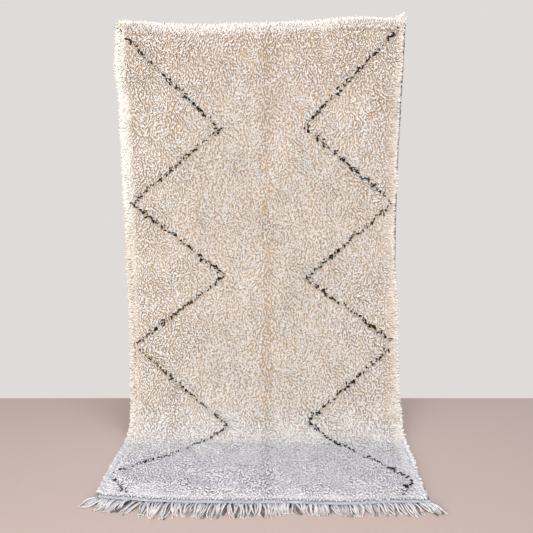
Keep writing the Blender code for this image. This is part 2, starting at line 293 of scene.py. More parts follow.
def clothSlab(name, x, run, bottom, top, material):
    # a slab whose points carry their place on the flat cloth, for weaves and stripes
    points, faces = slab(x, run, bottom, top)
    obj = meshObject(name, points, faces, material)
    place = np.stack([x.ravel(), run.ravel(), np.zeros(x.size)], axis=1)
    setAttribute(obj.data, "cloth", "FLOAT_VECTOR", np.concatenate([place, place]))
    return obj


# Camera: a standing eye, 3.2 m in front of the wall side
camera = {"place": (0.028, -3.23, -0.683), "tilt": 10.25, "lens": 40.53}


def makeCamera():
    data = bpy.data.cameras.new("viewer")
    data.lens = camera["lens"]
    data.sensor_width = 36.0
    eye = bpy.data.objects.new("viewer", data)
    eye.location = camera["place"]
    eye.rotation_euler = (math.radians(90.0 - camera["tilt"]), 0.0, 0.0)
    bpy.context.scene.collection.objects.link(eye)
    bpy.context.scene.camera = eye


makeCamera()
print("stage: camera")


# Node trees
class NodeWork:
    # the nodes of one tree, under construction
    def __init__(self, tree):
        self.nodes = tree.nodes
        self.links = tree.links

    def add(self, kind, inputs=None, **settings):
        # a new node, with its inputs given by name or number
        node = self.nodes.new(kind)
        for key, value in settings.items():
            setattr(node, key, value)
        for key, value in (inputs or {}).items():
            self.fill(node.inputs[key], value)
        return node

    def fill(self, socket, value):
        # a node gives its first output, and anything that isn't linked is the socket's own value
        if isinstance(value, bpy.types.Node):
            value = value.outputs[0]
        if isinstance(value, bpy.types.NodeSocket):
            self.links.new(value, socket)
        elif socket.type == "RGBA":
            socket.default_value = (*value, 1.0)
        else:
            socket.default_value = value

    def maths(self, kind, a, b=0.0):
        return self.add("ShaderNodeMath", {0: a, 1: b}, operation=kind)


# Light: open shade, warm from the front, cool from above
light = {
    "view": "Standard",
    "room": (0.50, 0.50, 0.51),  # light from all round
    "backdrop": (0.74, 0.71, 0.69),  # what the camera sees behind
    "aim": (0.0, -0.2, -1.0),
    "front": {"place": (-0.9, -4.7, -1.4), "size": 3.0, "power": 296, "colour": (0.985, 0.985, 0.965)},
    "above": {"place": (0.4, -1.3, 3.2), "size": 2.6, "power": 152, "colour": (0.62, 0.71, 1.0)},
}


def areaLight(name, spec):
    data = bpy.data.lights.new(name, "AREA")
    data.shape = "SQUARE"
    data.size = spec["size"]
    data.energy = spec["power"]
    data.color = spec["colour"]
    lamp = bpy.data.objects.new(name, data)
    lamp.location = spec["place"]
    lamp.rotation_euler = (Vector(light["aim"]) - Vector(spec["place"])).to_track_quat("-Z", "Y").to_euler()
    bpy.context.scene.collection.objects.link(lamp)


def makeLight():
    bpy.context.scene.view_settings.view_transform = light["view"]
    world = bpy.data.worlds.new("paleRoom")
    bpy.context.scene.world = world
    world.use_nodes = True
    work = NodeWork(world.node_tree)
    room = work.nodes["Background"]
    work.fill(room.inputs["Color"], light["room"])
    backdrop = work.add("ShaderNodeBackground", {"Color": light["backdrop"]})
    seen = work.add("ShaderNodeLightPath").outputs["Is Camera Ray"]
    pick = work.add("ShaderNodeMixShader", {0: seen, 1: room, 2: backdrop})
    work.fill(work.nodes["World Output"].inputs["Surface"], pick)
    areaLight("frontSoftbox", light["front"])
    areaLight("overheadSoftbox", light["above"])


makeLight()


# Materials
class Finish(NodeWork):
    # a node material under construction
    def __init__(self, name, roughness, sheen=0.0, specular=0.2):
        self.material = bpy.data.materials.new(name)
        self.material.use_nodes = True
        super().__init__(self.material.node_tree)
        self.shader = self.nodes["Principled BSDF"]
        self.shader.inputs["Roughness"].default_value = roughness
        self.shader.inputs["Sheen Weight"].default_value = sheen
        self.shader.inputs["Sheen Roughness"].default_value = 0.6
        self.shader.inputs["Specular IOR Level"].default_value = specular

    def colour(self, source):
        self.fill(self.shader.inputs["Base Color"], source)

    def place(self):
        return self.add("ShaderNodeTexCoord").outputs["Object"]

    def attribute(self, name, output="Fac"):
        return self.add("ShaderNodeAttribute", attribute_name=name).outputs[output]

    def part(self, place, axis):
        return self.add("ShaderNodeSeparateXYZ", {0: place}).outputs[axis]

    def stretched(self, place, scale):
        return self.add("ShaderNodeMapping", {"Vector": place, "Scale": scale})

    def ramp(self, source, stops):
        node = self.add("ShaderNodeValToRGB", {"Fac": source})
        while len(node.color_ramp.elements) < len(stops):
            node.color_ramp.elements.new(0.5)
        for element, (at, colour) in zip(node.color_ramp.elements, stops):
            element.position = at
            element.color = (*colour, 1.0)
        return node

    def mix(self, factor, a, b, kind="MIX"):
        inputs = {0: factor, 6: a, 7: b}
        return self.add("ShaderNodeMix", inputs, data_type="RGBA", blend_type=kind).outputs[2]

    def noise(self, place, scale, detail):
        return self.add("ShaderNodeTexNoise", {"Vector": place, "Scale": scale, "Detail": detail})

    def bump(self, height, distance, strength):
        inputs = {"Height": height, "Distance": distance, "Strength": strength}
        self.fill(self.shader.inputs["Normal"], self.add("ShaderNodeBump", inputs))

    def fibres(self, scale, distance=0.0008):
        # the fine hairs of a yarn
        self.bump(self.noise(self.place(), scale, 2.0), distance, 0.6)


wool = {
    # painted shade: each lock is darker and tanner towards its root, down among the other locks
    "hung": [
        (0.00, (0.44, 0.28, 0.16)), (0.32, (0.68, 0.57, 0.45)),
        (0.56, (0.90, 0.90, 0.89)), (1.0, (0.91, 0.91, 0.91)),
    ],
    "lying": [
        (0.00, (0.54, 0.49, 0.46)), (0.34, (0.72, 0.69, 0.67)),
        (0.58, (0.87, 0.875, 0.90)), (1.0, (0.88, 0.885, 0.91)),
    ],
    # painted shade: the bed seen between the locks is dark tan
    "hungBed": [(0.38, (0.44, 0.29, 0.16)), (0.60, (0.64, 0.52, 0.38))],
    "lyingBed": [(0.38, (0.52, 0.47, 0.44)), (0.60, (0.68, 0.65, 0.63))],
    "lies": (-0.41, -0.13),  # y between which the hung tints give way to the lying ones, painted cooler as under light from above
    "rim": (0.97, 0.94, 0.87),  # painted highlight: the near-white that the outermost rows are mixed towards, where light from above and the left catches them
    "crest": (0.83, 0.77, 0.67),  # and the creamier painted highlight of the fur along the top edge
    "crestAt": (0.925, 0.955),  # 1 + z between which one gives way to the other
    "rimShare": 0.88,
    "upper": [(0.50, (1.0, 1.0, 1.0)), (0.82, (0.95, 0.925, 0.90))],  # painted shade: darker towards the top, by 1 + z
    "patches": [(0.35, (0.97, 0.94, 0.89)), (0.65, (0.98, 0.97, 0.96))],  # yellower and paler fleece
    "patchScale": 7.0,
    "patchShare": 0.35,
    "tone": [(0.0, (0.90, 0.87, 0.83)), (0.5, (0.98, 0.97, 0.96)), (1.0, (1.0, 1.0, 1.0))],
    "fleck": [(0.34, (0.81, 0.74, 0.67)), (0.52, (1.0, 1.0, 1.0))],
    "fleckScale": 200.0,
    "smoke": (0.62, 0.66, 0.69),  # cream wool greyed by its dark neighbours, and painted shade on the last rows at the foot
    "smokeShare": 0.7,
    "dark": [(0.0, (0.008, 0.007, 0.008)), (1.0, (0.032, 0.027, 0.027))],
    "fibreScale": 900.0,
}


def hungOrLyingLight(finish, source, hung, lying):
    # painted light: wool on the floor is painted greyer and cooler, as under cool light from above, than
    # the wool that hangs in warm light
    low, high = wool["lies"]
    share = finish.maths("SUBTRACT", finish.part(finish.place(), 1), low)
    share = finish.maths("DIVIDE", share, high - low)
    share = finish.maths("MINIMUM", finish.maths("MAXIMUM", share, 0.0), 1.0)
    return finish.mix(share, finish.ramp(source, lying), finish.ramp(source, hung))


def shareOf(finish, name, most):
    return finish.maths("MULTIPLY", finish.attribute(name), most)


def pileFinish():
    finish = Finish("creamWool", roughness=0.95, sheen=0.25)
    place = finish.place()
    colour = hungOrLyingLight(finish, finish.attribute("along"), wool["hung"], wool["lying"])
    colour = finish.mix(shareOf(finish, "smoke", wool["smokeShare"]), colour, wool["smoke"])
    patch = finish.ramp(finish.noise(place, wool["patchScale"], 3.0), wool["patches"])
    colour = finish.mix(wool["patchShare"], colour, patch, "MULTIPLY")
    high = finish.maths("ADD", finish.part(place, 2), 1.0)
    tone = finish.ramp(finish.attribute("tone"), wool["tone"])
    fleck = finish.ramp(finish.noise(place, wool["fleckScale"], 1.0), wool["fleck"])
    for shade in (tone, fleck, finish.ramp(high, wool["upper"])):
        colour = finish.mix(1.0, colour, shade, "MULTIPLY")
    # painted highlight: rim locks are mixed towards near-white, creamier at the top edge
    rim = finish.ramp(high, list(zip(wool["crestAt"], (wool["rim"], wool["crest"]))))
    finish.colour(finish.mix(shareOf(finish, "pale", wool["rimShare"]), colour, rim))
    finish.fibres(wool["fibreScale"])
    return finish.material


def darkFinish():
    finish = Finish("darkWool", roughness=0.9)
    finish.colour(finish.ramp(finish.attribute("tone"), wool["dark"]))
    finish.fibres(wool["fibreScale"])
    return finish.material


def bedFinish():
    finish = Finish("shadedBedWool", roughness=0.95, sheen=0.1)
    fleck = finish.noise(finish.place(), 170.0, 3.0)
    colour = hungOrLyingLight(finish, fleck, wool["hungBed"], wool["lyingBed"])
    # painted highlight on the rims, as on the locks
    finish.colour(finish.mix(shareOf(finish, "pale", wool["rimShare"]), colour, wool["rim"]))
    finish.bump(fleck, 0.004, 0.8)
    return finish.material


creamWool = pileFinish()
darkWool = darkFinish()
shadedBedWool = bedFinish()
print("stage: finishes")


# Node trees that repeat a shape
class Tree(NodeWork):
    # a geometry node tree under construction, from named inputs to one mesh in its wool
    def __init__(self, name, inputs):
        self.tree = bpy.data.node_groups.new(name, "GeometryNodeTree")
        super().__init__(self.tree)
        sockets = self.tree.interface
        sockets.new_socket(name="Geometry", in_out="OUTPUT", socket_type="NodeSocketGeometry")
        for title, kind in [("Geometry", "Geometry"), *inputs]:
            sockets.new_socket(name=title, in_out="INPUT", socket_type="NodeSocket" + kind)
        self.entry = self.add("NodeGroupInput").outputs

    def named(self, name, kind="FLOAT"):
        node = self.add("GeometryNodeInputNamedAttribute", {"Name": name}, data_type=kind)
        return node.outputs["Attribute"]

    def vector(self, x, y, z):
        return self.add("ShaderNodeCombineXYZ", {0: x, 1: y, 2: z})

    def chance(self, low, high, shift, kind="FLOAT"):
        # a random number for each knot; shift keeps one draw apart from another
        first, result = {"FLOAT": (2, 1), "INT": (4, 2)}[kind]
        inputs = {first: low, first + 1: high, "Seed": self.maths("ADD", self.entry["Seed"], shift)}
        return self.add("FunctionNodeRandomValue", inputs, data_type=kind).outputs[result]

    def turned(self, rotation, x, y, z):
        turn = self.add("FunctionNodeEulerToRotation", {0: self.vector(x, y, z)})
        return self.add("FunctionNodeRotateRotation", {0: rotation, 1: turn}, rotation_space="LOCAL")

    def finish(self, geometry):
        real = self.add("GeometryNodeRealizeInstances", {0: geometry})
        paint = self.add("GeometryNodeSetMaterial", {"Geometry": real, "Material": self.entry["Wool"]})
        self.add("NodeGroupOutput", {0: paint})
        return self.tree


def knotTree():
    # one of the shapes on every knot, turned to the knot's comb and fitted to its height
    t = Tree("woolKnots", [("Shapes", "Collection"), ("Shape Count", "Int"), ("Shape Height", "Float"),
                           ("Turn", "Float"), ("Tilt", "Float"), ("Seed", "Int"), ("Wool", "Material")])
    shapes = t.add("GeometryNodeCollectionInfo", {
        "Collection": t.entry["Shapes"], "Separate Children": True, "Reset Children": True,
    })
    ways = {0: t.named("outward", "FLOAT_VECTOR"), 1: t.named("comb", "FLOAT_VECTOR")}
    axes = t.add("FunctionNodeAxesToRotation", ways, primary_axis="Z", secondary_axis="X")
    loose = t.named("loose")
    spin = t.maths("MULTIPLY", t.chance(-1.0, 1.0, 1), t.maths("MULTIPLY", t.entry["Turn"], loose))
    sway = t.maths("MULTIPLY", t.chance(-1.0, 1.0, 2), t.maths("MULTIPLY", t.entry["Tilt"], loose))
    rotation = t.turned(axes, 0.0, 0.0, spin)
    rotation = t.turned(rotation, sway, t.maths("ADD", t.named("lean"), sway), 0.0)
    high = t.maths("DIVIDE", t.named("tall"), t.entry["Shape Height"])
    high = t.maths("MULTIPLY", high, t.chance(0.84, 1.10, 3))
    wide = t.maths("MULTIPLY", t.named("size"), t.chance(0.82, 1.18, 4))
    last = t.maths("SUBTRACT", t.entry["Shape Count"], 1)
    put = t.add("GeometryNodeInstanceOnPoints", {
        "Points": t.entry["Geometry"], "Instance": shapes, "Pick Instance": True,
        "Instance Index": t.chance(0, last, 5, "INT"), "Rotation": rotation,
        "Scale": t.vector(wide, wide, high),
    })
    tone = {"Geometry": put, "Name": "tone", "Value": t.chance(0.0, 1.0, 6)}
    return t.finish(t.add("GeometryNodeStoreNamedAttribute", tone, data_type="FLOAT", domain="INSTANCE"))


def yarnTree():
    # a plied yarn along every path: three plies that twist about each other
    t = Tree("pliedYarn", [("Ply Depth", "Float"), ("Twist", "Float"), ("Wool", "Material")])
    curve = t.add("GeometryNodeMeshToCurve", {0: t.entry["Geometry"]})
    length = t.add("GeometryNodeSplineParameter").outputs["Length"]
    tilt = t.maths("MULTIPLY", length, t.entry["Twist"])
    twisted = t.add("GeometryNodeSetCurveTilt", {"Curve": curve, "Tilt": tilt})
    circle = t.add("GeometryNodeCurvePrimitiveCircle", {"Resolution": 6, "Radius": 1.0})
    odd = t.maths("MODULO", t.add("GeometryNodeInputIndex"), 2.0)
    share = t.maths("SUBTRACT", 1.0, t.maths("MULTIPLY", odd, t.entry["Ply Depth"]))
    middle = t.add("GeometryNodeInputPosition")
    around = t.add("ShaderNodeVectorMath", {0: middle, "Scale": share}, operation="SCALE")
    lobed = t.add("GeometryNodeSetPosition", {"Geometry": circle, "Position": around})
    return t.finish(t.add("GeometryNodeCurveToMesh", {
        "Curve": twisted, "Profile Curve": lobed, "Scale": t.named("thick"), "Fill Caps": True,
    }))


def grown(name, knots, tree, settings, edges=()):
    # runs a tree on a set of knots and keeps its result as a plain mesh
    mesh = bpy.data.meshes.new(name + "Knots")
    mesh.from_pydata([tuple(p) for p in knots["place"]], edges, [])
    for key, values in knots.items():
        if key != "place":
            setAttribute(mesh, key, "FLOAT_VECTOR" if np.ndim(values) == 2 else "FLOAT", values)
    host = bpy.data.objects.new(name, mesh)
    bpy.context.scene.collection.objects.link(host)
    modifier = host.modifiers.new("grow", "NODES")
    modifier.node_group = tree
    for item in tree.interface.items_tree:
        if item.item_type == "SOCKET" and item.in_out == "INPUT" and item.name in settings:
            modifier[item.identifier] = settings[item.name]
    host.update_tag()
    ready = host.evaluated_get(bpy.context.evaluated_depsgraph_get())
    made = bpy.data.meshes.new_from_object(ready)
    host.modifiers.clear()
    host.data = made
    made.name = name
    made.shade_smooth()
    bpy.data.meshes.remove(mesh)
    aboveFloor(made)
    return host


def aboveFloor(mesh):
    # wool that would dip through the floor lies on it
    points = np.empty(len(mesh.vertices) * 3, np.float32)
    mesh.vertices.foreach_get("co", points)
    points = points.reshape(-1, 3)
    least = floorZ + rug["gap"]
    low = points[:, 2] < least
    if low.any():
        points[low, 2] = least + 0.1 * (least - points[low, 2])
        mesh.vertices.foreach_set("co", points.ravel())
        mesh.update()


def shapeSet(name, shapes):
    # a collection of small shapes, each given as points, faces and the share along it
    group = bpy.data.collections.new(name)
    bpy.context.scene.collection.children.link(group)
    for number, (points, faces, along) in enumerate(shapes):
        obj = meshObject(f"{name}{number + 1}", points, faces)
        setAttribute(obj.data, "along", "FLOAT", along)
        bpy.context.scene.collection.objects.unlink(obj)
        group.objects.link(obj)
    return group


def dropSet(group):
    for obj in list(group.objects):
        bpy.data.objects.remove(obj)
    bpy.data.collections.remove(group)


onKnots = knotTree()
alongPaths = yarnTree()


# The locks of the pile: a few shapes, put on every knot of a thick bed of wool
locks = {
    "across": 0.0092,        # between knots across the rug
    "along": 0.0100,         # and down it
    "jitter": 0.30,          # of these
    "bed": (0.44, 0.64),     # share of the pile's height that is packed bed, hung and lying
    "pressed": (2.0, 0.3),   # run where the locks begin to lie pressed, and over what length
    "bedSwell": 0.14,        # how much fuller or deeper the bed gets from place to place
    "sunk": 0.004,           # how deep a lock starts in the bed
    "high": 0.018,           # a lock's own height before it is fitted to the pile
    "thick": 0.0045,         # its radius
    "sides": 3,
    "turn": 0.40,            # how far a lock may turn from the comb, radians
    "tilt": 0.20,            # and lean
    "swirl": 0.12,           # size of the swirls in the pile
    "swirlTurns": (1.6, 1.1),  # how far they turn the locks, and smaller ones do, radians
    "bands": 4,              # pieces that the pile is made in, down the rug
    "lean": 0.12,            # of the locks in the field, radians
    "rims": {                # how far in a rim is combed, its lean, and how pale its wool is painted, a painted highlight
        "left": (0.050, 0.80, 1.0),
        "right": (0.075, 0.95, 0.75),
        "head": (0.055, 0.50, 1.0),
        "foot": (0.030, 0.85, 0.0),
    },
    "leftHighlightFade": (0.85, 0.40, 0.65),  # run where the painted highlight on the left rim fades into shade, over what length, how much
    "parting": (0.03, 0.022),  # x of the line where the pile parts, and half its width
    "partingBare": 0.35,     # share of the knots that are missing on that line
    "partingDeep": 0.28,     # how much lower the bed is there
    "pull": {"left": 3.0, "right": 4.0, "head": 5.0, "foot": 4.0},  # of the rims on the comb
    "headSlant": 1.8,
    "seed": 11,
    "shapes": [              # reach, side curl, tip droop as shares of the height, and thickness
        ("hooked", 0.68, 0.14, 0.12, 1.00),
        ("leaning", 0.82, -0.12, 0.06, 0.95),
        ("upright", 0.46, 0.10, 0.02, 1.05),
        ("curled", 0.60, -0.30, 0.12, 0.92),
        ("wisp", 1.00, 0.20, 0.12, 0.82),
        ("blunt", 0.52, -0.16, 0.04, 1.12),
        ("bent", 0.72, 0.32, 0.10, 0.92),
    ],
}


def lockShape(reach, curl, droop, thick):
    path = [
        (0.00, 0.00, 0.00),
        (0.22 * reach, 0.50 * curl, 0.72),
        (0.80 * reach, 1.00 * curl, 0.98 - 0.5 * droop),
        (1.15 * reach, 0.96 * curl, 0.93 - 1.0 * droop),
    ]
    radii = np.array([0.60, 1.00, 1.00]) * locks["thick"] * thick
    return tube(np.array(path) * locks["high"], radii, locks["sides"])


def rimShare(x, run, rim):
    # 1 at a rim of the field, falling to 0 as far in as that rim is combed
    inside = {
        "left": x - fieldEdge(run, -1),
        "right": fieldEdge(run, 1) - x,
        "head": run,
        "foot": runLength - run,
    }[rim]
    return 1.0 - smoothStep(inside / locks["rims"][rim][0])


def rimLeanAndHighlight(x, run):
    # the lean that the rims give to their locks, and their paleness, a painted highlight along the rims
    lean = np.full(len(x), locks["lean"])
    pale = np.zeros(len(x))
    start, length, dulls = locks["leftHighlightFade"]
    for rim, (_, most, palest) in locks["rims"].items():
        share = rimShare(x, run, rim)
        lean = np.maximum(lean, most * share)
        if rim == "left":
            palest = palest * (1.0 - dulls * smoothStep((run - start) / length))
            share = np.clip(1.7 * share, 0.0, 1.0)
        pale = np.maximum(pale, palest * share)
    return lean, pale


def partingAt(x, run):
    # distance from the parting in half widths, negative on its left
    middle, half = locks["parting"]
    return (x - middle - 0.014 * noiseOn(0.0 * x, run, 0.15, 4.4)) / half


def combAt(x, run):
    # which way the pile leans: (across, down the rug), from swirls, the parting and the rims
    swirl, pull = locks["swirl"], locks["pull"]
    wide, fine = locks["swirlTurns"]
    turn = wide * noiseOn(x, run, swirl, 8.1) + fine * noiseOn(x, run, swirl / 2.5, 9.1)
    across = np.sin(turn)
    down = np.cos(turn)
    across += pull["right"] * rimShare(x, run, "right") - pull["left"] * rimShare(x, run, "left")
    away = partingAt(x, run)
    down += 1.5 * np.exp(-away ** 2)
    across += 0.5 * away * np.exp(-away ** 2 / 4.0)
    nearTop = rimShare(x, run, "head")
    down += pull["foot"] * rimShare(x, run, "foot") - pull["head"] * nearTop
    across += locks["headSlant"] * nearTop
    size = np.hypot(across, down)
    return across / size, down / size


def knotPlaces():
    # every knot of the pile, as x and run, in rows across that are shaken a little
    rng = np.random.default_rng(locks["seed"])
    rows = round(runLength / locks["along"])
    xs, runs = [], []
    for row in range(rows):
        run = (row + 0.5) * runLength / rows
        left, right = fieldEdge(run, -1), fieldEdge(run, 1)
        count = round((right - left) / locks["across"])
        across = left + (np.arange(count) + 0.5 + 0.25 * (-1) ** row) * (right - left) / count
        shake = rng.uniform(-1, 1, (2, count)) * locks["jitter"]
        xs.append(across + shake[0] * locks["across"])
        runs.append(run + shake[1] * locks["along"])
    return np.concatenate(xs), np.clip(np.concatenate(runs), 0.0, runLength)


def bedTop(x, run):
    # the locks are pressed together where the rug lies on the floor
    hung, lying = locks["bed"]
    start, length = locks["pressed"]
    share = hung + (lying - hung) * smoothStep((run - start) / length)
    share = share + locks["bedSwell"] * (noiseOn(x, run, 0.045, 5.5) + noiseOn(x, run, 0.14, 6.6))
    share = np.clip(share - locks["partingDeep"] * np.exp(-partingAt(x, run) ** 2), 0.12, 0.80)
    return rug["weave"] + (pileThickness(x, run) - rug["weave"]) * share


def onCloth(run, across, down):
    # a direction on the cloth's surface, as a vector
    along = clothFrame(run)[0]
    zero = np.zeros(len(run))
    return np.stack([across + zero, zero, zero], axis=1) + along * (down + zero)[:, None]


def knotsAt(x, run, lift, comb, tall, lean=0.0, loose=1.0, size=1.0, **more):
    # a table of knots for the node tree, with single values spread over all of them
    table = {"place": clothPlace(x, run, lift), "outward": clothFrame(run)[1], "comb": comb}
    for key, value in {"tall": tall, "lean": lean, "loose": loose, "size": size, **more}.items():
        table[key] = value if np.ndim(value) == 2 else np.zeros(len(x)) + value
    return table


def knotTable(x, run, comb=None):
    across, down = combAt(x, run) if comb is None else comb
    rim = 1.0 - smoothStep(insideEdges(x, run) / 0.03)
    lean, pale = rimLeanAndHighlight(x, run)
    top = bedTop(x, run)
    tall = pileThickness(x, run) - top + locks["sunk"]
    comb = onCloth(run, across, down)
    return knotsAt(x, run, top - locks["sunk"], comb, tall, lean, 1.0 - 0.5 * rim, pale=pale)


def lockSet(name, specs):
    return shapeSet(name, [lockShape(*spec[1:]) for spec in specs])


def choose(table, keep):
    return {key: values[keep] for key, values in table.items()}


# The zigzag: two lines of dark knots, given by their corners as x and run
zigzag = {
    "left": [(-0.723, 0.029), (-0.219, 0.535), (-0.688, 0.916), (-0.197, 1.312),
             (-0.687, 1.691), (-0.179, 2.140), (-0.717, 2.603), (-0.597, 2.765)],
    "right": [(0.708, 0.029), (0.223, 0.521), (0.702, 0.916), (0.242, 1.330),
              (0.726, 1.682), (0.257, 2.108), (0.705, 2.631), (0.630, 2.765)],
    "step": 0.0095,          # between dark knots along the line
    "wander": 0.0032,
    "turn": 0.95,            # how far a dark lock may turn from its line, radians
    "clear": 0.0070,         # cream knots this near a dark one are left out
    "size": (1.10, 0.24),    # of a knot, and how much thicker or thinner the line gets
    "smoke": 0.018,          # how far the cream wool beside the line is greyed
    "shapes": [
        ("stroke", 1.05, 0.10, 0.08, 1.00),
        ("dash", 0.85, -0.16, 0.04, 1.05),
        ("fleck", 0.60, 0.22, 0.00, 0.95),
    ],
    "faint": [               # side, from run, to run, how full the line is, and its gaps
        ("left", 0.00, 0.075, 0.62, -0.08),
        ("left", 0.150, 0.245, 0.52, -0.08),
        ("left", 1.62, 2.30, 0.80, -0.32),
        ("left", 2.30, 2.58, 0.70, -0.16),
        ("right", 0.255, 0.290, 0.70, -0.08),
        ("right", 2.30, 2.42, 0.75, -0.08),
    ],
    "gaps": -0.36,           # elsewhere a knot is left out where the noise is under this
    "tall": 1.08,            # how much a dark lock is taller than a cream one
    "backWide": 0.011,       # of a bar of dark wool on the back
    "backRow": 0.0185,       # from row to row
    "backThick": 0.0018,
    "backLift": 0.0006,
    "seed": 5,
}


def zigzagLines():
    # the straight lines of the zigzag, each as side, start and end
    for side in ("left", "right"):
        corners = np.array(zigzag[side])
        for a, b in zip(corners, corners[1:]):
            yield side, a, b


def zigzagKnots():
    # places of the dark knots, the way their line runs, and their size
    rng = np.random.default_rng(zigzag["seed"])
    middle, vary = zigzag["size"]
    places, ways, sizes = [], [], []
    for side, a, b in zigzagLines():
        count = int(np.linalg.norm(b - a) / zigzag["step"])
        share = (np.arange(count) + 0.5) / count
        line = a + (b - a) * share[:, None]
        beat = noiseOn(line[:, 0], line[:, 1], 0.026, 2.0)
        size = middle + vary * noiseOn(line[:, 0], line[:, 1], 0.11, 6.0)
        least = np.full(count, zigzag["gaps"])
        for where, start, end, fullness, gaps in zigzag["faint"]:
            there = (line[:, 1] > start) & (line[:, 1] < end) & (where == side)
            size[there] *= fullness
            least[there] = gaps
        keep = beat + rng.uniform(-0.25, 0.25, count) > least
        line = line + rng.normal(0, zigzag["wander"], line.shape)
        way = (b - a) / np.linalg.norm(b - a) * rng.choice((-1.0, 1.0), count)[:, None]
        places.append(line[keep])
        ways.append(way[keep])
        sizes.append(size[keep])
    return np.concatenate(places), np.concatenate(ways), np.concatenate(sizes)


def smokeAt(x, run):
    # how much the cream wool is greyed by the dark line beside it, in patches
    nearest = np.full(len(x), 1.0)
    spots = np.stack([x, run], axis=1)
    for _, a, b in zigzagLines():
        share = np.clip((spots - a) @ (b - a) / ((b - a) @ (b - a)), 0.0, 1.0)
        nearest = np.minimum(nearest, np.linalg.norm(spots - a - share[:, None] * (b - a), axis=1))
    patch = np.clip(0.55 + 0.9 * noiseOn(x, run, 0.09, 12.0), 0.0, 1.0)
    return patch * np.exp(-(nearest / zigzag["smoke"]) ** 2)


def clearOf(x, run, others, distance):
    # which places keep their distance from all others
    near = {}
    for spot in others:
        near.setdefault((int(spot[0] // distance), int(spot[1] // distance)), []).append(spot)
    keep = np.ones(len(x), bool)
    for k in range(len(x)):
        cx, cr = int(x[k] // distance), int(run[k] // distance)
        close = [spot for i in (-1, 0, 1) for j in (-1, 0, 1) for spot in near.get((cx + i, cr + j), ())]
        keep[k] = all(math.hypot(x[k] - spot[0], run[k] - spot[1]) >= distance for spot in close)
    return keep


def makePile():
    shapes = lockSet("lock", locks["shapes"])
    settings = {"Shapes": shapes, "Shape Count": len(locks["shapes"]), "Shape Height": locks["high"],
                "Turn": locks["turn"], "Tilt": locks["tilt"], "Seed": locks["seed"], "Wool": creamWool}
    x, run = knotPlaces()
    dark, ways, sizes = zigzagKnots()
    thinned = locks["partingBare"] * np.exp(-partingAt(x, run) ** 2)
    stays = np.random.default_rng(locks["seed"] + 1).uniform(size=len(x)) > thinned
    keep = stays & clearOf(x, run, dark, zigzag["clear"]) & insideCover(x, run)
    x, run = x[keep], run[keep]
    table = knotTable(x, run)
    # the foot's share is painted shade on the last rows at the foot edge
    table["smoke"] = np.maximum(smokeAt(x, run), 0.4 * rimShare(x, run, "foot"))
    made = []
    edges = np.linspace(0.0, runLength, locks["bands"] + 1)
    for band, (start, end) in enumerate(zip(edges, edges[1:])):
        inside = (run >= start) & ((run < end) | (band == locks["bands"] - 1))
        piece = grown(f"pileBand{band + 1}", choose(table, inside), onKnots, settings)
        made.append(piece)
        print("stage: pile band", band + 1, len(piece.data.polygons), "faces")
    strokes = lockSet("stroke", zigzag["shapes"])
    darkTable = knotTable(dark[:, 0], dark[:, 1], ways.T)
    darkTable["size"] = sizes
    darkTable["tall"] *= zigzag["tall"]
    knots = grown("zigzagKnots", darkTable, onKnots, {
        **settings, "Shapes": strokes, "Shape Count": len(zigzag["shapes"]), "Turn": zigzag["turn"],
        "Wool": darkWool, "Seed": zigzag["seed"],
    })
    dropSet(strokes)
    made.append(makeRims(settings, dark))
    for piece in made:
        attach(piece, body)
    backs = zigzagBacks(dark)
    for piece in (knots, backs):
        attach(piece, body)
    dropSet(shapes)
    return [*made, knots, backs]


def zigzagBacks(dark):
    # the dark knots grip the warps, so short bars of their wool show in rows on the back
    wide, row, thick = zigzag["backWide"], zigzag["backRow"], zigzag["backThick"]
    spots = sorted({(round(x / wide), round(run / row)) for x, run in dark})
    x, run = np.array(spots).T * np.array([[wide], [row]])
    run = np.clip(run, row, runLength - row)
    bar = tube([(-wide / 2, 0, 0), (wide / 2, 0, 0)], np.full(2, thick), 5, False)
    bars = shapeSet("bar", [bar])
    table = knotsAt(x, run, rug["gap"] + zigzag["backLift"], onCloth(run, 1.0, 0.0), thick)
    piece = grown("zigzagBacks", table, onKnots, {
        "Shapes": bars, "Shape Count": 1, "Shape Height": thick, "Turn": 0.2, "Tilt": 0.05,
        "Seed": zigzag["seed"], "Wool": darkWool,
    })
    dropSet(bars)
    return piece


